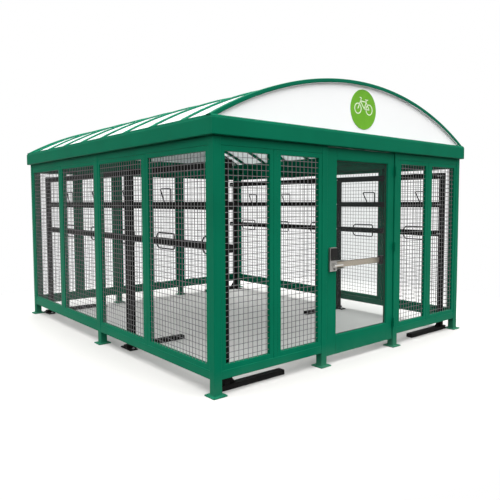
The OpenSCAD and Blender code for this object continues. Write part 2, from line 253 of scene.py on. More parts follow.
def end_tree(tree, tone, geometry, material):
    """Ends a tree in real geometry with its material."""
    real = tone.make("GeometryNodeRealizeInstances", {0: geometry})
    dressed = tone.make("GeometryNodeSetMaterial", {"Geometry": real, "Material": material})
    sink = tree.nodes.new("NodeGroupOutput")
    tree.links.new(dressed.socket, sink.inputs[0])


def grown(tree, data, **sizes):
    """The plain mesh that a tree makes out of another mesh."""
    seed = bpy.data.objects.new("seed", data)
    bpy.context.scene.collection.objects.link(seed)
    modifier = seed.modifiers.new("grow", "NODES")
    modifier.node_group = tree
    names = {item.name: item.identifier for item in tree.interface.items_tree
             if item.in_out == "INPUT"}
    for name, size in sizes.items():
        modifier[names[name]] = size
    graph = bpy.context.evaluated_depsgraph_get()
    result = bpy.data.meshes.new_from_object(seed.evaluated_get(graph))
    bpy.data.objects.remove(seed)
    return result


def weld_bead_tree():
    """A bead of weld along the edges of a mesh, with its ripples."""
    tree, tone, given = new_tree("weld_bead", Leg="Float", Ripple="Float")
    path = tone.make("GeometryNodeMeshToCurve", {0: given["Geometry"]})
    path = tone.make("GeometryNodeResampleCurve", {
        "Curve": path, "Length": given["Ripple"] * 0.5}, mode="LENGTH")
    index = tone.make("GeometryNodeInputIndex")
    swell = index.maths("MODULO", 2.0) * 0.22 + 0.78
    path = tone.make("GeometryNodeSetCurveRadius", {"Curve": path, "Radius": given["Leg"] * swell})
    section = tone.make("GeometryNodeCurvePrimitiveCircle", {"Resolution": 7, "Radius": 1.0})
    bead = tone.make("GeometryNodeCurveToMesh", {
        "Curve": path, "Profile Curve": section,
        "Scale": given["Leg"] * swell})
    bead = tone.make("GeometryNodeSetShadeSmooth", {"Geometry": bead})
    end_tree(tree, tone, bead, green_paint)
    return tree


weld_bead = weld_bead_tree()


def welded(mesh, points, leg=0.0035, closed=True):
    """Lays a bead of weld along a line of points."""
    data = bpy.data.meshes.new("bead_path")
    edges = [(i, i + 1) for i in range(len(points) - 1)]
    if closed:
        edges.append((len(points) - 1, 0))
    data.from_pydata(points, edges, [])
    add_mesh(mesh, grown(weld_bead, data, Leg=leg, Ripple=0.009))


def drilled_plate(mesh, outline, holes, hole_r, low, high, edge=0.001):
    """Flat plate with real holes and softened edges, lying level."""
    curve = bpy.data.curves.new("plate", "CURVE")
    curve.dimensions = "2D"
    curve.fill_mode = "BOTH"
    curve.extrude = (high - low) / 2 - edge
    curve.bevel_depth = edge
    curve.offset = -edge
    curve.bevel_resolution = 1
    rings = [outline]
    for x, y in holes:
        rings.append([(x + hole_r * math.cos(math.tau * i / 20),
                       y - hole_r * math.sin(math.tau * i / 20)) for i in range(20)])
    for ring in rings:
        spline = curve.splines.new("POLY")
        spline.points.add(len(ring) - 1)
        for point, (x, y) in zip(spline.points, ring):
            point.co = (x, y, 0, 1)
        spline.use_cyclic_u = True
    holder = bpy.data.objects.new("plate", curve)
    data = bpy.data.meshes.new_from_object(holder)
    add_mesh(mesh, data, Matrix.Translation((0, 0, (low + high) / 2)))
    bpy.data.objects.remove(holder)
    bpy.data.curves.remove(curve)


post = 0.076
plate_t = 0.010
anchor_pitch = 0.106
anchor_r = 0.007
post_names = ["front_left_corner_post", "door_latch_post", "door_hinge_post",
              "front_right_corner_post", "left_middle_post", "right_middle_post",
              "back_left_corner_post", "back_left_inner_post", "back_right_inner_post",
              "back_right_corner_post"]
for name in post_names:
    low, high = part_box(name)
    middle = (low + high) / 2
    x, y = middle.x, middle.y
    mesh = bmesh.new()
    tube = rounded(x - post / 2, y - post / 2, x + post / 2, y + post / 2, 0.006, 4)
    bar(mesh, tube, plate_t, high.z, upright)
    bmesh.ops.remove_doubles(mesh, verts=mesh.verts, dist=1e-6)
    drilled_plate(
        mesh, rounded(low.x, low.y, high.x, high.y, 0.008),
        [(x + i * anchor_pitch / 2, y + j * anchor_pitch / 2)
         for i in (-1, 1) for j in (-1, 1)],
        anchor_r, 0.0, plate_t)
    welded(mesh, [(u, v, plate_t + 0.001) for u, v in rounded(
        x - post / 2 - 0.001, y - post / 2 - 0.001,
        x + post / 2 + 0.001, y + post / 2 + 0.001, 0.007)])
    steel(name.replace("_post", "_tube"), mesh, name)


# ---- Rails and mullions ----
# Sill and head rails are rectangular tubes between the posts, set back a few
# millimetres from the post faces, with an upright mullion in each bay. They
# are welded on the inside and underneath, and ground flush outside.

rail_h = 0.076
rail_t = 0.070
rail_set = (post - rail_t) / 2
mullion_w = 0.045
reach = {
    "front": -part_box("front_rails")[0].y + rail_set,
    "back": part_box("back_rails")[1].y + rail_set,
    "left": -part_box("left_rails")[0].x + rail_set,
    "right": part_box("right_rails")[1].x + rail_set,
}
turn = {"front": 0, "right": 90, "back": 180, "left": 270}
bays = {
    "front": ["front_left_mesh", "front_right_mesh"],
    "left": ["left_front_mesh", "left_rear_mesh"],
    "right": ["right_front_mesh", "right_rear_mesh"],
    "back": ["back_left_mesh", "back_middle_mesh", "back_right_mesh"],
}


def wall_matrix(wall):
    """From a wall's own frame: x along it as seen from outside, y inwards
    from the outer face of its posts, z up."""
    spin = Matrix.Rotation(math.radians(turn[wall]), 4, "Z")
    return spin @ Matrix.Translation((0, -reach[wall], 0))


def on_wall(wall, node):
    """Corners of a node's box in the frame of its wall."""
    back = wall_matrix(wall).inverted()
    corners = [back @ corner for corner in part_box(node)]
    low = Vector(min(c[i] for c in corners) for i in range(3))
    high = Vector(max(c[i] for c in corners) for i in range(3))
    return low, high


def lying(matrix):
    """Places an outline of (inwards, up) along a wall."""
    return lambda v, z, x: matrix @ Vector((x, v, z))


def standing(matrix):
    """Places an outline of (along, inwards) upright in a wall."""
    return lambda x, v, z: matrix @ Vector((x, v, z))


for wall, names in bays.items():
    matrix = wall_matrix(wall)
    rails = bmesh.new()
    mullions = bmesh.new()
    low, high = on_wall(wall, wall + "_rails")
    for name in names:
        start, end = (corner.x for corner in on_wall(wall, name))
        for z in (low.z, high.z - rail_h):
            section = rounded(rail_set, z, rail_set + rail_t, z + rail_h, 0.004)
            bar(rails, section, start, end, lying(matrix))
            for x in (start, end):
                inner = rail_set + rail_t
                welded(rails, [matrix @ Vector((x, v, h)) for v, h in (
                    (rail_set + 0.008, z), (inner - 0.003, z),
                    (inner, z + 0.003), (inner, z + rail_h - 0.006))],
                    0.0028, False)
        middle = (start + end) / 2
        section = rounded(middle - mullion_w / 2, rail_set,
                          middle + mullion_w / 2, rail_set + rail_t, 0.004)
        bar(mullions, section, low.z + rail_h, high.z - rail_h, standing(matrix))
    steel(wall + "_rail_tubes", rails, wall + "_rails")
    steel(wall + "_mullion_tubes", mullions, wall + "_mullions")


# ---- Mesh panels ----
# Each half bay holds a mitred frame of box section with welded wire mesh of
# two-inch squares behind its outer face. The frames are powder coated and
# the galvanised wires are clamped in them bare.

frame_w = 0.043
frame_t = 0.040
frame_set = 0.005
wire_pitch = 0.0508
wire_d = 0.0052
wire_bite = 0.006


def galvanised():
    material, tone, place, shader = finish_of(
        "galvanised_wire", (0.21, 0.21, 0.214, 1.0), 0.36, 0.95)
    spangle = tone.make("ShaderNodeTexVoronoi", {"Vector": place, "Scale": 210.0})
    stain = noise(tone, place, 9.0)
    shade = spangle * 0.5 + stain.between(0.3, 0.7) * 0.5
    tone.feed(shader.inputs["Base Color"],
              shade.mix((0.16, 0.16, 0.164, 1.0), (0.26, 0.26, 0.264, 1.0)))
    tone.feed(shader.inputs["Roughness"], shade * 0.25 + 0.32)
    return material


wire_zinc = galvanised()


def wire_mesh_tree():
    """A centred sheet of crossing wires in the plane of x and z."""
    tree, tone, given = new_tree("wire_mesh", Width="Float", Height="Float",
                                 Pitch="Float", Wire="Float")
    sides = 8
    radius = given["Wire"] * 0.5

    def row(across, length, turned, depth, axis):
        count = across.maths("DIVIDE", given["Pitch"]).maths("FLOOR")
        first = (count - 1.0) * given["Pitch"] * -0.5
        point = tone.make("ShaderNodeCombineXYZ", {axis: first, "Y": depth})
        step = tone.make("ShaderNodeCombineXYZ", {axis: given["Pitch"]})
        line = tone.make("GeometryNodeMeshLine", {
            "Count": count, "Start Location": point, "Offset": step})
        wire = tone.make("GeometryNodeMeshCylinder", {
            "Vertices": sides, "Radius": radius, "Depth": length})
        return tone.make("GeometryNodeInstanceOnPoints", {
            "Points": line, "Instance": wire, "Rotation": turned})

    uprights = row(given["Width"], given["Height"] + 2 * wire_bite, (0.0, 0.0, 0.0), 0.0, "X")
    levels = row(given["Height"], given["Width"] + 2 * wire_bite,
                 (0.0, math.pi / 2, 0.0), given["Wire"] * 0.92, "Z")
    both = tone.make("GeometryNodeJoinGeometry")
    join = both.socket.node
    for part in (uprights, levels):
        tree.links.new(part.socket, join.inputs[0])
    end_tree(tree, tone, both, wire_zinc)
    return tree


wire_mesh = wire_mesh_tree()


def mitred_ring(mesh, outer, inner, section, place):
    """Runs a section round a rectangle. Its points give how far across from
    the outer to the inner edge, and how deep."""
    corners = [((outer[0], outer[1]), (inner[0], inner[1])),
               ((outer[2], outer[1]), (inner[2], inner[1])),
               ((outer[2], outer[3]), (inner[2], inner[3])),
               ((outer[0], outer[3]), (inner[0], inner[3]))]

    def mitre(far, near):
        return [place(far[0] + (near[0] - far[0]) * across, depth,
                      far[1] + (near[1] - far[1]) * across) for across, depth in section]

    skin(mesh, [mitre(far, near) for far, near in corners], True)


for wall, names in bays.items():
    matrix = wall_matrix(wall)
    for name in names:
        low, high = on_wall(wall, name)
        width = (high.x - low.x - mullion_w) / 2
        frames = bmesh.new()
        wires = bmesh.new()
        for x in (low.x, high.x - width):
            outer = (x, low.z, x + width, high.z)
            inner = (x + frame_w, low.z + frame_w, x + width - frame_w, high.z - frame_w)
            section = [(across / frame_w, depth) for across, depth in rounded(
                0, frame_set, frame_w, frame_set + frame_t, 0.0025)]
            mitred_ring(frames, outer, inner, section, standing(matrix))
            sheet = grown(wire_mesh, bpy.data.meshes.new("empty"), Width=inner[2] - inner[0],
                          Height=inner[3] - inner[1], Pitch=wire_pitch, Wire=wire_d)
            centre = Vector(((inner[0] + inner[2]) / 2, 2 * frame_set + wire_d / 2,
                             (inner[1] + inner[3]) / 2))
            add_mesh(wires, sheet, matrix @ Matrix.Translation(centre))
        steel(name.replace("_mesh", "_panel_frames"), frames, name)
        make_piece(name.replace("_mesh", "_wire_mesh"), wires, wire_zinc, "shelter", "green_mesh")


# ---- Fascia beams ----
# Four deep box beams stand out over the walls and tie the posts together.
# They are mitred and welded at the corners, and a folded flashing runs round
# on top of them to close the roof's edges.

beam_round = 0.009
folded = [(0.003, -0.002), (0.003, 0.003), (0.008, 0.012), (0.016, 0.017), (0.028, 0.018),
          (0.028, 0.016), (0.017, 0.015), (0.010, 0.0105), (0.005, 0.0025), (0.005, -0.002)]
fascia_low, fascia_top = (corner.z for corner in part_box("front_fascia"))
beam_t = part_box("left_fascia")[1].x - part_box("left_fascia")[0].x
whole_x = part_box("front_fascia")[1].x
whole_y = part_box("back_fascia")[1].y
beam = rounded(0, fascia_low, beam_t, fascia_top, beam_round, 4)
flashing = [(v, fascia_top + z) for v, z in folded]
for wall, half, edge in (("front", whole_x, whole_y), ("right", whole_y, whole_x),
                         ("back", whole_x, whole_y), ("left", whole_y, whole_x)):
    spin = Matrix.Rotation(math.radians(turn[wall]), 4, "Z")
    for part, outline, replaced in (
            ("_fascia_beam", beam, [wall + "_fascia"]),
            ("_eave_flashing", flashing, [])):
        mesh = bmesh.new()
        bar(mesh, outline, lambda v, z: v - half, lambda v, z: half - v,
            lambda v, z, x: spin @ Vector((x, v - edge, z)))
        steel(wall + part, mesh, *replaced)


# ---- End arches ----
# A rolled box tube closes each end of the barrel vault. Its feet are cut
# level and welded to a low eave rail on top of each side beam.

roof_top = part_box("front_arch")[1].z
eave_h = 0.018
eave_z = fascia_top + eave_h
rise = roof_top - eave_z
roof_r = (whole_x ** 2 + rise ** 2) / (2 * rise)
vault_z = roof_top - roof_r
arch_h = 0.038
arch_steps, sheet_steps = 72, 48


def vaulted(y, radius, turned_by):
    """Place on the vault. turned_by runs from -1 to 1 between the two lines
    where the curve of that radius meets the eave rails."""
    angle = turned_by * math.acos((eave_z - vault_z) / radius)
    return Vector((radius * math.sin(angle), y, vault_z + radius * math.cos(angle)))


for end in ("front", "back"):
    low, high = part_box(end + "_arch")
    mesh = bmesh.new()
    section = rounded(low.y, roof_r - arch_h, high.y, roof_r, 0.007, 4)
    bar(mesh, section, -1, 1, vaulted, arch_steps)
    for side in (-1, 1):
        foot = [vaulted(y, r, side * 0.9995) for y, r in rounded(
            low.y, roof_r - arch_h, high.y, roof_r, 0.004, 1)]
        welded(mesh, foot, 0.0032)
    steel(end + "_rolled_arch", mesh, end + "_arch")


def along_y(x, z, y):
    """Places an outline of (x, z) along y."""
    return Vector((x, y, z))


eave_rails = bmesh.new()
for side in (-1, 1):
    near, far = sorted((side * (whole_x - 0.100), side * (whole_x - 0.006)))
    bar(eave_rails, rounded(near, fascia_top - 0.001, far, eave_z + 0.0005, 0.003),
        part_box("front_arch")[0].y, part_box("back_arch")[1].y, along_y)
steel("eave_rails", eave_rails)


# ---- Roof ribs, sheets and cap strips ----
# Nine white twin-wall sheets lie on eight rolled ribs between the arches.
# Over each rib a cap strip clamps two sheets on a rubber gasket, with a row
# of washered screws.

cap_w, cap_t = 0.050, 0.020
gasket_t = 0.0025
sheet_t = 0.010
rib_w, rib_h = 0.030, 0.040
sheet_count = 9
vault_start, vault_end = (corner.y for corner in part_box("roof_sheet"))
first_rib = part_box("roof_ribs")[0].y + rib_w / 2
last_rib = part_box("roof_ribs")[1].y - rib_w / 2
rib_lines = [first_rib + i * (last_rib - first_rib) / (sheet_count - 2)
             for i in range(sheet_count - 1)]
sheet_r = roof_r - cap_t


def layer(tone, share, first, second):
    """Shows a mix of two shaders on the surface."""
    both = tone.make("ShaderNodeMixShader", {0: share, 1: first, 2: second})
    sink = tone.tree.nodes["Material Output"]
    tone.feed(sink.inputs["Surface"], both)
    return both


def twin_wall():
    material, tone, place, shader = finish_of(
        "white_twin_wall", (0.90, 0.92, 0.92, 1.0), 0.34, specular=0.35)
    along = tone.make("ShaderNodeSeparateXYZ", {"Vector": place}, output="Y")
    flutes = (along * (math.tau / 0.011)).maths("SINE") * 0.5 + 0.5
    cloud = noise(tone, place, 1.7)
    shade = flutes * 0.45 + cloud.between(0.3, 0.7) * 0.55
    colour = shade.mix((0.84, 0.87, 0.87, 1.0), (0.93, 0.945, 0.94, 1.0))
    tone.feed(shader.inputs["Base Color"], colour)
    relief(tone, shader, flutes, 0.12, 0.0004)
    through = tone.make("ShaderNodeBsdfTranslucent", {"Color": colour})
    layer(tone, 0.42, Tone(tone.tree, shader.outputs[0]), through)
    return material


def grained(name, first, second, scale, roughness, swing, metallic=0.0,
            specular=0.5, cloudy=False, peel=None):
    """A finish whose colour and roughness drift together. peel gives the
    scale, strength and depth of a fine relief."""
    material, tone, place, shader = finish_of(name, first, roughness, metallic, specular)
    grain = noise(tone, place, scale)
    shade = grain.between(0.3, 0.7) if cloudy else grain
    tone.feed(shader.inputs["Base Color"], shade.mix(first, second))
    tone.feed(shader.inputs["Roughness"], grain * swing + roughness)
    if peel:
        relief(tone, shader, noise(tone, place, peel[0]), *peel[1:])
    return material


opal_sheet = twin_wall()
black_rubber = grained("black_rubber", (0.012, 0.012, 0.013, 1.0), (0.028, 0.028, 0.029, 1.0),
                       300.0, 0.55, 0.25, specular=0.3)
zinc = grained("bright_zinc", (0.45, 0.46, 0.47, 1.0),
               (0.64, 0.65, 0.66, 1.0), 120.0, 0.2, 0.3, metallic=0.85)


def fastener_tree(name, sides, material):
    """A washer and a head at every vertex, along its own axis."""
    tree, tone, given = new_tree(name, Head="Float", Rise="Float", Washer="Float")
    thick = given["Washer"] * 0.16
    washer = tone.make("GeometryNodeMeshCylinder", {
        "Vertices": 16, "Radius": given["Washer"], "Depth": thick})
    head = tone.make("GeometryNodeMeshCylinder", {
        "Vertices": sides, "Radius": given["Head"], "Depth": given["Rise"]})
    crown = tone.make("GeometryNodeMeshUVSphere", {
        "Segments": 12, "Rings": 6, "Radius": given["Head"] * 0.86})
    low = tone.make("ShaderNodeCombineXYZ", {"Z": thick * 0.5})
    middle = tone.make("ShaderNodeCombineXYZ", {"Z": thick + given["Rise"] * 0.5})
    top = tone.make("ShaderNodeCombineXYZ", {"Z": thick + given["Rise"]})
    flat = tone.make("ShaderNodeCombineXYZ", {"X": 1.0, "Y": 1.0, "Z": 0.28})
    both = tone.make("GeometryNodeJoinGeometry")
    join = both.socket.node
    for part, at, scale in ((washer, low, None), (head, middle, None), (crown, top, flat)):
        inputs = {"Geometry": part, "Translation": at}
        if scale:
            inputs["Scale"] = scale
        moved = tone.make("GeometryNodeTransform", inputs)
        tree.links.new(moved.socket, join.inputs[0])
    axis = tone.make("GeometryNodeInputNamedAttribute", {"Name": "axis"}, data_type="FLOAT_VECTOR")
    facing = tone.make("FunctionNodeAlignRotationToVector", {"Vector": axis}, axis="Z")
    rows = tone.make("GeometryNodeInstanceOnPoints", {
        "Points": given["Geometry"], "Instance": both, "Rotation": facing})
    end_tree(tree, tone, rows, material)
    return tree


dome_screw = fastener_tree("dome_screw", 16, zinc)
hex_bolt = fastener_tree("hex_bolt", 6, zinc)


def fasteners(mesh, tree, places, head, rise, washer):
    """Adds a fastener at each (place, axis)."""
    data = bpy.data.meshes.new("places")
    data.from_pydata([place for place, _ in places], [], [])
    axes = data.attributes.new("axis", "FLOAT_VECTOR", "POINT")
    for item, (_, axis) in zip(axes.data, places):
        item.vector = axis
    add_mesh(mesh, grown(tree, data, Head=head, Rise=rise, Washer=washer))


ribs = bmesh.new()
caps = bmesh.new()
gaskets = bmesh.new()
screws = bmesh.new()
screw_count, screw_reach = 11, 0.95
rib_r = sheet_r - sheet_t
crown_h = cap_t - gasket_t - 0.003
crown_shape = [(0, 0), (0, 0.22), (0.03, 0.40), (0.12, 0.68), (0.24, 0.90), (0.38, 1), (0.62, 1),
               (0.76, 0.90), (0.88, 0.68), (0.97, 0.40), (1, 0.22), (1, 0)]
for y in rib_lines:
    rib = rounded(y - rib_w / 2, rib_r - rib_h, y + rib_w / 2, rib_r, 0.004)
    bar(ribs, rib, -1, 1, vaulted, sheet_steps)
    start, end = y - cap_w / 2, y + cap_w / 2
    crown = [(start + across * cap_w, sheet_r + gasket_t + up * crown_h)
             for across, up in crown_shape]
    bar(caps, crown, -1, 1, vaulted, sheet_steps)
    gasket = rounded(start + 0.0015, sheet_r, end - 0.0015, sheet_r + gasket_t, 0.0008, 1)
    bar(gaskets, gasket, -1, 1, vaulted, sheet_steps)
    rows = []
    for i in range(screw_count):
        at = vaulted(y, roof_r - 0.0035, screw_reach * (2 * i / (screw_count - 1) - 1))
        rows.append((at, (at - Vector((0, y, vault_z))).normalized()))
    fasteners(screws, dome_screw, rows, 0.0055, 0.001, 0.0085)
steel("roof_rib_tubes", ribs, "roof_ribs")
steel("roof_cap_strips", caps, "cap_strips")
make_piece("roof_cap_gaskets", gaskets, black_rubber, "shelter", "reader_black")
make_piece("roof_cap_screws", screws, zinc, "shelter", "satin_steel")

sheets = bmesh.new()
lines = [vault_start] + rib_lines + [vault_end]
joint = 0.002
for start, end in zip(lines, lines[1:]):
    start += joint if start in rib_lines else 0
    end -= joint if end in rib_lines else 0
    section = rounded(start, rib_r, end, sheet_r, 0.001, 1)
    bar(sheets, section, -1, 1, vaulted, sheet_steps)
make_piece("roof_sheets", sheets, opal_sheet, "shelter", "roof_sheet", "roof_sheet")


# ---- Gable panels ----
# A flat white panel fills each arch. It is cut from painted sheet, set back
# behind the face of the arch and bedded in white sealant all round.

white_paint = grained("white_panel_paint", (0.945, 0.955, 0.955, 1.0), (0.97, 0.975, 0.975, 1.0),
                      2.0, 0.34, 0.16, specular=0.3, cloudy=True, peel=(500.0, 0.06, 0.0004))
gable_r = roof_r - arch_h
trim_deep = 0.021
bead = 0.005


def along_x(y, z, x):
    """Places an outline of (y, z) along x."""
    return Vector((x, y, z))


def filling(y, up, turned_by):
    """Place on the flat panel under an arch. up is 0 on the beam and 1 on
    the arch."""
    edge = vaulted(y, gable_r, turned_by)
    return Vector((edge.x, y, fascia_top + up * (edge.z - fascia_top)))


for end, out in (("front", -1), ("back", 1)):
    low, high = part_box(end + "_gable")
    mesh = bmesh.new()
    bar(mesh, [(low.y, 0), (high.y, 0), (high.y, 1), (low.y, 1)],
        -0.9995, 0.9995, filling, arch_steps)
    face = low.y if out < 0 else high.y
    seal = [(face, gable_r), (face + out * trim_deep, gable_r),
            (face + out * trim_deep, gable_r - 0.0015),
            (face + out * bead * 0.3, gable_r - bead * 0.9),
            (face, gable_r - bead * 1.6)]
    bar(mesh, seal, -0.998, 0.998, vaulted, arch_steps)
    bar(mesh, [(face, fascia_top), (face + out * bead, fascia_top),
               (face + out * bead * 0.3, fascia_top + bead * 0.7), (face, fascia_top + bead)],
        -whole_x + 0.09, whole_x - 0.09, along_x)
    make_piece(end + "_gable_panel", mesh, white_paint, "shelter", "gable_panel", end + "_gable")


# ---- Round sign ----
# A lime enamelled disc with a raised rim, glued to the front gable. It shows
# a bicycle in white, built up as a thin raised figure.

def turned(mesh, profile, place, sides=32):
    """Revolves a profile of (radius, height) about an axis. place takes
    (across, up, height)."""
    rings = []
    for radius, height in profile:
        count = sides if radius > 0 else 1
        rings.append([mesh.verts.new(place(
            radius * math.cos(math.tau * i / sides),
            radius * math.sin(math.tau * i / sides), height))
            for i in range(count)])
    for ring, following in zip(rings, rings[1:]):
        for i in range(sides):
            j = (i + 1) % sides
            corners = [ring[i % len(ring)], ring[j % len(ring)], following[j % len(following)],
                       following[i % len(following)]]
            unique = list(dict.fromkeys(corners))
            if len(unique) > 2:
                mesh.faces.new(unique)


lime = grained("lime_enamel", (0.135, 0.405, 0.014, 1.0), (0.155, 0.440, 0.018, 1.0), 14.0, 0.26,
               0.12, specular=0.3, cloudy=True)
pale_lime = grained("pale_enamel", (0.78, 0.90, 0.62, 1.0), (0.84, 0.93, 0.70, 1.0), 14.0, 0.26,
                    0.12, specular=0.3, cloudy=True)
sign_low, sign_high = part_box("round_sign")
sign_mid = (sign_low + sign_high) / 2
sign_r = (sign_high.z - sign_low.z) / 2
rim_w = 0.006


def on_sign(x, z, out):
    return Vector((sign_mid.x + x, sign_high.y - out, sign_mid.z + z))


mesh = bmesh.new()
turned(mesh, [(0, 0), (sign_r, 0), (sign_r, 0.003), (sign_r - 0.001, 0.004),
              (sign_r - rim_w + 0.001, 0.004), (sign_r - rim_w, 0.003), (0, 0.003)], on_sign, 96)
make_piece("round_sign_disc", mesh, lime, "shelter", "sign_green", "round_sign")

figure = bmesh.new()
figure_w = 0.0105
wheel_r = 0.050
hubs = [(-0.088, 0.004), (0.088, 0.004)]
head, seat, crank = (-0.050, 0.082), (0.038, 0.078), (0.012, 0.004)
bars, saddle = (-0.034, 0.112), (0.046, 0.100)
for x, z in hubs:
    half = figure_w / 2
    turned(figure, [(wheel_r - half, 0.003), (wheel_r - half, 0.0040), (wheel_r + half, 0.0040),
                    (wheel_r + half, 0.003), (wheel_r - half, 0.003)],
           lambda u, v, h, x=x, z=z: on_sign(x + u, z + v, h), 48)
strokes = [(hubs[0], bars), (head, seat), (head, crank), (seat, crank),
           (hubs[1], seat), (hubs[1], crank), (seat, saddle),
           ((saddle[0] - 0.018, saddle[1]), (saddle[0] + 0.020, saddle[1])),
           ((bars[0] - 0.024, bars[1] + 0.004), bars)]
for (x0, z0), (x1, z1) in strokes:
    length = math.hypot(x1 - x0, z1 - z0)
    along = Vector((x1 - x0, z1 - z0)) / length
    outline = rounded(-figure_w / 2, -figure_w / 2, length + figure_w / 2,
                      figure_w / 2, figure_w / 2 - 1e-5)
    bar(figure, outline, 0.003, 0.0040,
        lambda u, v, h, x=x0, z=z0, along=along: on_sign(
            x + along.x * u - along.y * v, z + along.y * u + along.x * v, h))
make_piece("round_sign_bicycle", figure, pale_lime, "shelter", "gable_panel")


# ---- Door leaf and glass ----
# The leaf is welded from four box sections with deep top and bottom rails.
# One clear safety pane sits on rubber between beads on both sides.

leaf_low, leaf_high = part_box("door_leaf")
latch_stile, hinge_stile = 0.132, 0.108
top_rail, bottom_rail = 0.115, 0.186
pane_low, pane_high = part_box("door_glass")
opening = (leaf_low.x + latch_stile, leaf_low.z + bottom_rail,
           leaf_high.x - hinge_stile, leaf_high.z - top_rail)

leaf = bmesh.new()
for start, end in ((leaf_low.x, opening[0]), (opening[2], leaf_high.x)):
    bar(leaf, rounded(start, leaf_low.y, end, leaf_high.y, 0.003), leaf_low.z, leaf_high.z, upright)
for low, high in ((leaf_low.z, opening[1]), (opening[3], leaf_high.z)):
    bar(leaf, rounded(leaf_low.y, low, leaf_high.y, high, 0.0015, 2),
        opening[0], opening[2], along_x)
steel("door_leaf_frame", leaf, "door_leaf", body="door")

bead_w = 0.007
beads = bmesh.new()
seals = bmesh.new()
inner = (opening[0] + bead_w, opening[1] + bead_w, opening[2] - bead_w, opening[3] - bead_w)
lip = 1.5
for face, pane, out in ((leaf_low.y, pane_low.y, -1), (leaf_high.y, pane_high.y, 1)):
    top = pane + out * 0.0095
    step = out * 0.0025
    section = [(0.02, pane + step), (0.02, top), (0.35, top), (0.75, top - out * 0.001),
               (0.97, top - out * 0.003), (1.0, pane + step)]
    mitred_ring(beads, opening, inner, section, upright)
    section = [(0.3, pane + out * 0.0001), (0.3, pane + step * 0.98),
               (lip - 0.2, pane + step * 0.98), (lip, pane + step * 0.5),
               (lip, pane + out * 0.0001)]
    mitred_ring(seals, opening, inner, section, upright)
steel("door_glazing_beads", beads, body="door")
make_piece("door_glass_seals", seals, black_rubber, "door", "reader_black")


def clear_pane():
    """Thin clear glass with a faint film of dust and a little tint."""
    material, tone, place, shader = finish_of("clear_glass", (0.22, 0.26, 0.25, 1.0), 0.03)
    smear = noise(tone, place, 3.0)
    tone.feed(shader.inputs["Roughness"], smear * 0.05)
    clear = tone.make("ShaderNodeBsdfTransparent", {"Color": (0.955, 0.965, 0.962, 1.0)})
    layer(tone, smear * 0.02 + 0.03, clear, Tone(tone.tree, shader.outputs[0]))
    return material


glass = clear_pane()
mesh = bmesh.new()
bar(mesh, rounded(pane_low.x, pane_low.z, pane_high.x, pane_high.z, 0.004),
    pane_low.y, pane_high.y, along_y)
make_piece("door_glass_pane", mesh, glass, "door", "clear_glass", "door_glass")


# ---- Hinges ----
# Three welded butt hinges carry the leaf outside its face. Their turned
# knuckles ride on a fixed pin with domed tips, coated with the frame.

def brushed(name, colour, roughness, grain_axis):
    """Satin metal with fine scratches along one axis."""
    material, tone, place, shader = finish_of(name, colour, roughness, 1.0)
    stretch = [260.0, 260.0, 260.0]
    stretch["XYZ".index(grain_axis)] = 6.0
    lines = tone.make("ShaderNodeVectorMath", {0: place, 1: tuple(stretch)}, operation="MULTIPLY")
    grain = noise(tone, lines, 1.0, 4.0, 0.7)
    cloud = noise(tone, place, 7.0)
    shade = grain.between(0.3, 0.7) * 0.7 + cloud * 0.3
    tone.feed(shader.inputs["Base Color"], shade.mix(tinted(colour, 0.86), tinted(colour, 1.08)))
    tone.feed(shader.inputs["Roughness"], grain * 0.18 + cloud * 0.08 + (roughness - 0.13))
    relief(tone, shader, grain, 0.08, 0.0003)
    return material


satin = brushed("satin_steel", (0.56, 0.55, 0.53, 1.0), 0.36, "X")
hinge_l = 0.100
knuckle_r = 0.009
pin_r = 0.005
hinge_t = 0.002
hinge_heights = [0.280, 1.118, 1.936]
swing = next(j for j in frame["joints"] if j["name"] == "door_swing")
hinge_x, hinge_y, _ = swing["pos_m"]


def on_hinge(x, y, z):
    return Vector((hinge_x + x, hinge_y + y, z))


def knuckle(mesh, low, high, soft=0.0012):
    turned(mesh, [(pin_r + 0.0001, low), (knuckle_r - soft, low), (knuckle_r, low + soft),
                  (knuckle_r, high - soft), (knuckle_r - soft, high), (pin_r + 0.0001, high),
                  (pin_r + 0.0001, low)], on_hinge)


jamb = bmesh.new()
leaf_side = bmesh.new()
plate_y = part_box("jamb_hinges")[1].y - hinge_y
third = hinge_l / 3
tip_r, rest = 0.0055, 0.0005
for z in hinge_heights:
    foot, head = z - hinge_l / 2, z + hinge_l / 2
    turned(jamb, [(0, foot - 0.003), (0.003, foot - 0.0025), (tip_r, foot - rest), (tip_r, foot),
                  (pin_r, foot), (pin_r, head), (tip_r, head), (tip_r, head + rest),
                  (0.003, head + 0.0025), (0, head + 0.003)], on_hinge)
    for mesh, near, spans in ((jamb, rest, [(foot, foot + third), (head - third, head)]),
                              (leaf_side, -0.0025, [(foot + third + rest, head - third - rest)])):
        far = near + hinge_t
        bar(mesh, rounded(near, knuckle_r + 0.0005, far, plate_y, 0.0006, 1), foot, head, on_hinge)
        for low, high in spans:
            knuckle(mesh, low, high)
            bar(mesh, rounded(near, knuckle_r - 0.0035, far, knuckle_r + 0.001, 0.0006, 1), low,
                high, on_hinge)
steel("jamb_hinge_knuckles", jamb, "jamb_hinges")
steel("leaf_hinge_knuckles", leaf_side, "leaf_hinges", body="door")


# ---- Lock plate, reader and lever ----
# A satin housing on the latch stile carries a black card reader above, and
# below it a lever and a key cylinder on a stepped front. The lever is cast in
# one with its shaft and turns in a rose.

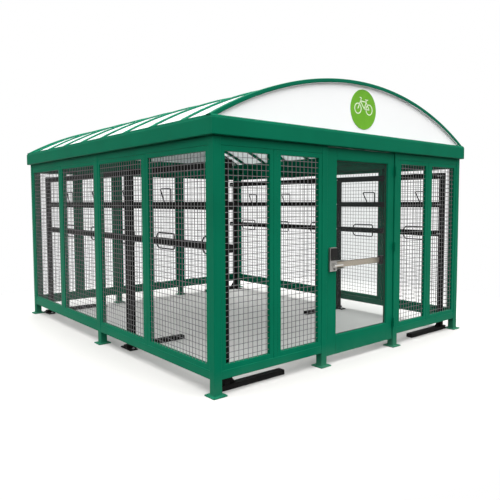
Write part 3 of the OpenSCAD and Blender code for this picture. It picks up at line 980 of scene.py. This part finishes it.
def block(mesh, low, high, radius, steps=3):
    """Box with every edge and corner rounded."""
    made = bmesh.ops.create_cube(mesh, size=1.0)
    for vertex in made["verts"]:
        vertex.co = Vector(low[i] + (vertex.co[i] + 0.5) * (high[i] - low[i]) for i in range(3))
    edges = list(dict.fromkeys(edge for vertex in made["verts"] for edge in vertex.link_edges))
    bmesh.ops.bevel(mesh, geom=edges, offset=radius, segments=steps, profile=0.5, affect="EDGES")


plate_low, plate_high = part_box("lock_plate")
lever_low, lever_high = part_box("lever_handle")
reader_low, reader_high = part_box("key_reader")
lever_joint = next(j for j in frame["joints"] if j["name"] == "lever_turn")
lever_x, _, lever_z = lever_joint["pos_m"]
rose_t = 0.006
lock_face = plate_low.y + rose_t
plate_foot = plate_low.z + 0.012
shaft_r = 0.008


def on_lock(x, z, out):
    """Place in front of the lock plate, about the lever's axis."""
    return Vector((lever_x + x, lock_face - out, lever_z + z))


lock_metal = brushed("lock_satin", (0.29, 0.285, 0.275, 1.0), 0.42, "Z")
step_x = plate_low.x + 0.45 * (plate_high.x - plate_low.x)
step_in = 0.0045
step_top = reader_low.z - 0.004
lock = bmesh.new()
plate_mid = (plate_low.x + plate_high.x) / 2
crowned = rounded(plate_low.x, step_top, plate_high.x, plate_high.z, 0.014, 5)[:12]
crowned += [(plate_low.x, step_top), (plate_high.x, step_top)]
bar(lock, crowned, lock_face + 0.0015, plate_high.y, along_y)
raised = [(plate_mid + (x - plate_mid) * 0.975,
           step_top + (z - step_top) * 0.992) for x, z in crowned]
bar(lock, raised, lock_face, lock_face + 0.002, along_y)
block(lock, (plate_low.x, lock_face, plate_foot), (step_x, plate_high.y, step_top + 0.0005), 0.003)
block(lock, (step_x - 0.003, lock_face + step_in, plate_foot),
      (plate_high.x, plate_high.y, step_top + 0.0005), 0.003)
turned(lock, [(shaft_r + 0.0002, -0.006), (shaft_r + 0.0002, rose_t - 0.0006),
              (shaft_r + 0.001, rose_t), (0.0215, rose_t), (0.024, rose_t - 0.0015),
              (0.025, 0.0015), (0.025, -0.006), (shaft_r + 0.0002, -0.006)], on_lock, 48)
core_x, core_z = 0.012, -0.037
core_r = 0.0088


def on_core(x, z, out):
    return on_lock(core_x + x, core_z + z, out)


turned(lock, [(core_r, 0.0030), (0.0105, 0.0030), (0.0115, 0.0020),
              (0.0115, -0.006), (core_r, -0.006), (core_r, 0.0030)], on_core)
make_piece("lock_housing", lock, lock_metal, "door", "satin_steel", "lock_plate")

details = bmesh.new()
corner_in = 0.009
fasteners(details, dome_screw, [
    (Vector((x, lock_face + depth, z)), (0, -1, 0))
    for x, depth in ((plate_low.x + corner_in, 0.0004),
                     (plate_high.x - corner_in, step_in + 0.0004))
    for z in (plate_foot + corner_in, plate_low.z + 0.088)],
    0.0036, 0.0006, 0.0042)
make_piece("lock_screws", details, zinc, "door", "satin_steel")

reader_black = grained("reader_plastic", (0.006, 0.0055, 0.0055, 1.0),
                       (0.009, 0.00825, 0.00825, 1.0), 30.0, 0.3, 0.2,
                       specular=0.12, peel=(900.0, 0.15, 0.0002))
# The key cylinder is partly real and partly painted shade: its black face gives the dark spot of
# shade under the lever.
core = bmesh.new()
turned(core, [(0, 0.0040), (0.0075, 0.0040), (0.0087, 0.0030),
              (0.0087, -0.006), (0, -0.006)], on_core)
make_piece("key_cylinder", core, reader_black, "door", "reader_black")
reader = bmesh.new()
reader_side = plate_high.x - 0.0015
block(reader, reader_low, (reader_side, reader_high.y, reader_high.z), 0.0022)
inset = 0.009
window = [(reader_low.x + inset, reader_low.z + inset * 5.5),
          (reader_side - inset, reader_high.z - inset)]
block(reader, (window[0][0], reader_low.y - 0.0009, window[0][1]),
      (window[1][0], reader_low.y + 0.001, window[1][1]), 0.0004, 2)
make_piece("card_reader", reader, reader_black, "door", "reader_black", "key_reader")
lamp = bmesh.new()
lamp_z = reader_low.z + 0.026
turned(lamp, [(0, 0.0016), (0.0018, 0.0012), (0.0028, 0.0004), (0.0030, -0.0005)],
       lambda x, z, out: Vector((lever_x + x, reader_low.y - out, lamp_z + z)), 24)
green_lens = grained("green_lens", (0.02, 0.20, 0.05, 1.0), (0.03, 0.26, 0.07, 1.0), 14.0, 0.26,
                     0.12, specular=0.3, cloudy=True)
make_piece("card_reader_lens", lamp, green_lens, "door", "reader_black")

grip_l = lever_high.x - lever_x
grip_w, grip_h = 0.012, 0.020
grip_y = lever_low.y + grip_w / 2
lever = bmesh.new()
stations = [(-0.0100, 0.30, 0.55), (-0.0092, 0.62, 0.80), (-0.0070, 0.85, 0.95),
            (-0.0020, 1.00, 1.00), (0.0150, 0.96, 0.98), (0.0400, 0.80, 0.86), (0.0800, 0.74, 0.80),
            (0.1150, 0.82, 0.86), (0.1250, 0.80, 0.84), (0.1285, 0.62, 0.70), (0.1300, 0.34, 0.44)]
rings = []
for x, deep, tall in stations:
    x = x * grip_l / stations[-1][0] if x > 0 else x
    half_w, half_h = grip_w / 2 * deep, grip_h / 2 * tall
    rings.append([Vector((lever_x + x, grip_y + v, lever_z + z))
                  for v, z in rounded(-half_w, -half_h, half_w, half_h, 0.0058 * deep, 4)])
skin(lever, rings)
turned(lever, [(0, 0.0), (shaft_r * 0.8, 0.0), (shaft_r, 0.0012), (shaft_r, 0.030), (0, 0.030)],
       lambda x, z, out: Vector((lever_x + x, grip_y - 0.004 + out, lever_z + z)))
make_piece("lever_casting", lever, satin, "lever", "satin_steel", "lever_handle")


# ---- Push bar ----
# Inside the leaf a champagne anodised bar slides in two end cases with
# screwed-on lids. A silver cover reaches over it from the latch end, where it
# works the lock. The case at the hinge end is near-black satin, as painted
# shade.

champagne = brushed("champagne_anodised", (0.42, 0.36, 0.30, 1.0), 0.42, "X")
case_low, case_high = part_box("push_bar_cases")
push_low, push_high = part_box("push_bar")
case_w = 0.070
# Near-black satin for the hinge-end case is painted shade: it is the same case as the satin one at
# the latch end.
painted_shade_satin = brushed("painted_shade_satin", (0.03, 0.03, 0.03, 1.0), 0.5, "Z")
case_screws = bmesh.new()
for x, end, metal in ((case_low.x, "latch", satin), (case_high.x - case_w, "hinge", painted_shade_satin)):
    mesh = bmesh.new()
    block(mesh, (x, case_low.y, case_low.z), (x + case_w, case_high.y - 0.003, case_high.z), 0.004)
    block(mesh, (x + 0.0015, case_high.y - 0.004, case_low.z + 0.0015),
          (x + case_w - 0.0015, case_high.y, case_high.z - 0.0015), 0.0015)
    case = make_piece("push_bar_" + end + "_case", mesh, metal, "door", "satin_steel")
    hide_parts("push_bar_cases")
    fasteners(case_screws, dome_screw, [
        (Vector((x + case_w / 2, case_high.y, z)), (0, 1, 0))
        for z in (case_low.z + 0.014, case_high.z - 0.014)],
        0.0036, 0.0006, 0.0044)
make_piece("push_bar_case_screws", case_screws, zinc, "door", "satin_steel")
pad = bmesh.new()
bar(pad, rounded(push_low.y, push_low.z, push_high.y, push_high.z, 0.005, 4),
    push_low.x, push_high.x, along_x)
cover_start = case_low.x + case_w - 0.002
cover_end = cover_start + 0.212
cover_t = 0.0015
cover = bmesh.new()
outline = [(case_low.y + 0.0005, case_low.z + 0.0015), (case_high.y - 0.010, case_low.z + 0.0015),
           (case_high.y - 0.003, case_low.z + 0.006), (case_high.y, case_low.z + 0.015),
           (case_high.y, case_high.z - 0.015), (case_high.y - 0.003, case_high.z - 0.006),
           (case_high.y - 0.010, case_high.z - 0.0015), (case_low.y + 0.0005, case_high.z - 0.0015)]
middle_z = (case_low.z + case_high.z) / 2
inside = [(y - (cover_t if y > case_high.y - 0.012 else 0),
           z + (cover_t if z < middle_z else -cover_t)) for y, z in reversed(outline)]
bar(cover, outline + inside, cover_start, cover_end, along_x)
make_piece("push_bar_latch_cover", cover, satin, "door", "satin_steel")
lip_t = 0.0008
for z in (push_low.z + 0.012, push_high.z - 0.012):
    block(pad, (push_low.x + 0.012, push_high.y - 0.001, z - 0.0015),
          (push_high.x - 0.012, push_high.y + lip_t, z + 0.0015), 0.0005, 1)
make_piece("push_bar_pad", pad, champagne, "push_bar", "satin_steel", "push_bar")


# ---- Bicycle racks ----
# Each rack is three square uprights on long floor bars, joined by three
# bolted rails. Bent round-bar loops and hooks for the front wheels are
# welded to plates on the rails, and all of it is satin black.

black_paint = powder_coat("black_powder_coat", (0.0034, 0.0032, 0.0032, 1.0),
                          (0.05, 0.05, 0.047, 1.0), 0.08, 0.55)
stand_w = 0.060
foot_w, foot_h = 0.080, 0.045
heel_w, heel_t, heel_reach = 0.088, 0.012, 0.118
gusset_t = 0.008
gusset_shape = [(-0.001, -0.001), (0.070, -0.001), (0.070, 0.010), (0.012, 0.085), (-0.001, 0.085)]
rack_rail_h, rack_rail_t = 0.070, 0.040
rail_heights = [1.210, 1.570, 1.925]
rod_r = 0.007
holder_count = 5
holder_from, holder_pitch = 0.259, 0.850
loop_l, loop_h, loop_tip, loop_out = 0.370, 0.160, 0.050, 0.033
weld_r = 0.009
hook_l, hook_h, hook_foot = 0.205, 0.166, 0.075


def bent_rod(mesh, points, bend, radius, closed, sides=10, turns=5):
    """Round bar along a line of points with its corners bent round."""
    count = len(points)
    line = []
    for i, point in enumerate(points):
        if not closed and i in (0, count - 1):
            line.append(point)
            continue
        before = (points[i - 1] - point)
        after = (points[(i + 1) % count] - point)
        room = min(bend, before.length * 0.45, after.length * 0.45)
        a = point + before.normalized() * room
        b = point + after.normalized() * room
        for step in range(turns + 1):
            t = step / turns
            line.append(a.lerp(point, t).lerp(point.lerp(b, t), t))
    total = len(line)
    normal = (line[1] - line[0]).cross(line[2] - line[1])
    for i in range(1, total - 1):
        if normal.length > 1e-9:
            break
        normal = (line[i] - line[i - 1]).cross(line[i + 1] - line[i])
    if normal.length <= 1e-9:
        normal = (line[1] - line[0]).orthogonal()
    normal.normalize()
    rings = []
    for i, point in enumerate(line):
        back = line[i - 1] if i or closed else point
        ahead = line[(i + 1) % total] if i < total - 1 or closed else point
        along = (ahead - back).normalized()
        side = along.cross(normal).normalized()
        rings.append([point + radius * (
            side * math.cos(math.tau * k / sides)
            + normal * math.sin(math.tau * k / sides))
            for k in range(sides)])
    skin(mesh, rings, closed)


for side, sign in (("left", -1), ("right", 1)):
    outer = reach[side]
    low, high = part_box(side + "_rack_stands")
    rail_low, rail_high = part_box(side + "_rack_rails")
    heel_x = outer - max(abs(low.x), abs(high.x))
    upright_x = heel_x + 0.042
    rail_x = upright_x + stand_w
    face = rail_x + rack_rail_t
    front_y = -reach["front"]

    def rack(inwards, y, z, sign=sign, outer=outer):
        return Vector((sign * (outer - inwards), y, z))

    stands = bmesh.new()
    plugs = bmesh.new()
    bolts = bmesh.new()
    rails = bmesh.new()
    holders = bmesh.new()
    foot_end = heel_x + high.x - low.x
    stand_lines = [(front_y + 0.120, [0]), (front_y + 1.855, [-1, 1]), (-front_y - 0.150, [0])]
    for y, sides in stand_lines:
        bar(stands, rounded(y - foot_w / 2, 0.0, y + foot_w / 2, foot_h, 0.005), heel_x,
            foot_end - 0.003, lambda v, z, x: rack(x, v, z))
        bar(plugs, rounded(y - foot_w / 2 + 0.002, 0.002, y + foot_w / 2 - 0.002, foot_h - 0.002,
                           0.004), foot_end - 0.004, foot_end, lambda v, z, x: rack(x, v, z))
        for step in sides:
            start = y + (step - 1) * stand_w / 2
            end = start + stand_w
            bar(stands, rounded(upright_x, start, rail_x, end, 0.005),
                foot_h - 0.001, high.z - 0.004, rack)
            bar(plugs, rounded(upright_x + 0.001, start + 0.001, rail_x - 0.001, end - 0.001,
                               0.005), high.z - 0.005, high.z, rack)
        reach_y = stand_w * len(sides) / 2
        welded(stands, [rack(u, v, foot_h + 0.001) for u, v in rounded(
            upright_x - 0.001, y - reach_y - 0.001,
            rail_x + 0.001, y + reach_y + 0.001, 0.006)],
            0.003)
        gusset = [(rail_x + x, foot_h + z) for x, z in gusset_shape]
        bar(stands, gusset, y - gusset_t / 2, y + gusset_t / 2, lambda x, z, v: rack(x, v, z))
        heel_start = max(y - heel_reach, front_y + 0.113)
        for start, end in ((heel_start, y - foot_w / 2), (y + foot_w / 2, y + heel_reach)):
            if end - start < 0.012:
                continue
            wide = rounded(heel_x, start, heel_x + heel_w, end, 0.003, 2)
            bar(stands, wide, 0.0, heel_t, rack)
            if end - start > 0.05:
                fasteners(bolts, hex_bolt, [
                    (rack(heel_x + heel_w * 0.62, (start + end) / 2,
                          heel_t), (0, 0, 1))], 0.010, 0.008, 0.015)
        for z in rail_heights:
            fasteners(bolts, dome_screw, [
                (rack(face, y + step, z), (-sign, 0, 0))
                for step in (0.014 - reach_y, reach_y - 0.014)],
                0.008, 0.002, 0.011)
    for z in rail_heights:
        section = rounded(rail_x, z - rack_rail_h / 2, face, z + rack_rail_h / 2, 0.004)
        bar(rails, section, rail_low.y + 0.003, rail_high.y - 0.003, lambda x, v, y: rack(x, y, v))
        for start, end in ((rail_low.y, rail_low.y + 0.004), (rail_high.y - 0.004, rail_high.y)):
            bar(plugs, rounded(rail_x + 0.001, z - rack_rail_h / 2 + 0.001, face - 0.001,
                               z + rack_rail_h / 2 - 0.001, 0.004), start, end,
                lambda x, v, y: rack(x, y, v))
    for i in range(holder_count):
        start = front_y + holder_from + i * holder_pitch
        half = loop_h / 2
        depth = face + loop_out + rod_r
        z = rail_heights[0]
        bent_rod(holders, [rack(depth, start + y, z + h) for y, h in (
            (0, -half), (0, half), (loop_l - loop_tip, half), (loop_l, 0),
            (loop_l - loop_tip, -half))], 0.028, rod_r, True)
        for y in (0, loop_l):
            bent_rod(holders, [rack(x, start + y, z) for x in (
                face - 0.001, face + 0.01, depth)], 0.001, rod_r, False)
            angles = [math.tau * k / 10 for k in range(10)]
            welded(holders, [rack(face + 0.001, start + y + weld_r * math.cos(angle),
                                  z + weld_r * math.sin(angle)) for angle in angles], 0.002)
        z = rail_heights[1]
        depth = face + rod_r
        bent_rod(holders, [rack(depth, start + y, z + h) for y, h in (
            (0, 0), (0, hook_h), (hook_l, hook_h),
            (hook_l - hook_foot, rack_rail_h / 2),
            (hook_l - hook_foot, 0))], 0.022, rod_r, True)
    for part, mesh, node in (
            ("_rack_frames", stands, "_rack_stands"),
            ("_rack_rail_tubes", rails, "_rack_rails"),
            ("_rack_loops_and_hooks", holders, "_wheel_holders")):
        make_piece(side + part, mesh, black_paint, "shelter", "rack_black", side + node)
    make_piece(side + "_rack_end_plugs", plugs, reader_black, "shelter", "reader_black")
    make_piece(side + "_rack_bolts", bolts, zinc, "shelter", "satin_steel")


# ---- Floor, light and camera ----
# A pale floor that fades to white far off, a soft white sky with a broad
# overhead light, and a camera at a standing person's eye height.

def ray(tone, kind):
    return tone.make("ShaderNodeLightPath", output="Is " + kind + " Ray")


def white_glow(tone, strength):
    return tone.make("ShaderNodeEmission", {"Color": (1.0, 1.0, 1.0, 1.0), "Strength": strength})


floor_paint, tone, place, shader = finish_of(
    "pale_floor", (0.555, 0.548, 0.536, 1.0), 0.8, specular=0.1)
away = tone.make("ShaderNodeVectorMath", {0: place}, "Value", operation="LENGTH")
paint = layer(tone, away.between(3.2, 4.6) * ray(tone, "Camera"),
              Tone(tone.tree, shader.outputs[0]), white_glow(tone, 1.0))
layer(tone, ray(tone, "Diffuse"), paint, white_glow(tone, 0.04))
far = 60.0
floor = bpy.data.meshes.new("floor")
floor.from_pydata([(-far, -far, 0), (far, -far, 0), (far, far, 0),
                   (-far, far, 0)], [], [(0, 1, 2, 3)])
floor.materials.append(floor_paint)
floor_object = bpy.data.objects.new("floor", floor)
bpy.context.scene.collection.objects.link(floor_object)

world = bpy.data.worlds.new("white_sky")
bpy.context.scene.world = world
world.use_nodes = True
tone = Tone(world.node_tree)
background = world.node_tree.nodes["Background"]
seen = ray(tone, "Camera")
toward = tone.make("ShaderNodeTexCoord", output="Generated")
height = tone.make("ShaderNodeSeparateXYZ", {"Vector": toward}, output="Z").maths("MAXIMUM", 0.0)
daylight = (height * 3.7 + 0.35) * (1 - seen)
tone.feed(background.inputs["Strength"], daylight * (1 - ray(tone, "Glossy") * 0.6) + seen)
background.inputs["Color"].default_value = (1.0, 1.0, 1.0, 1.0)

sun_data = bpy.data.lights.new("overhead", "SUN")
sun_data.energy = 0.6
sun_data.angle = math.radians(50)
sun = bpy.data.objects.new("overhead", sun_data)
sun.rotation_euler = (math.radians(16), math.radians(10), 0)
bpy.context.scene.collection.objects.link(sun)

camera_data = bpy.data.cameras.new("camera")
camera_data.sensor_width = 36.0
camera_data.lens = 38.58
camera_data.shift_x = -0.0345
camera_data.shift_y = -0.0263
camera = bpy.data.objects.new("camera", camera_data)
camera.location = (-4.346, -5.791, 1.598)
camera.rotation_euler = (math.radians(90 - 3.665), math.radians(0.05), math.radians(-40.787))
bpy.context.scene.collection.objects.link(camera)
bpy.context.scene.camera = camera

bpy.context.scene.view_settings.view_transform = "Standard"
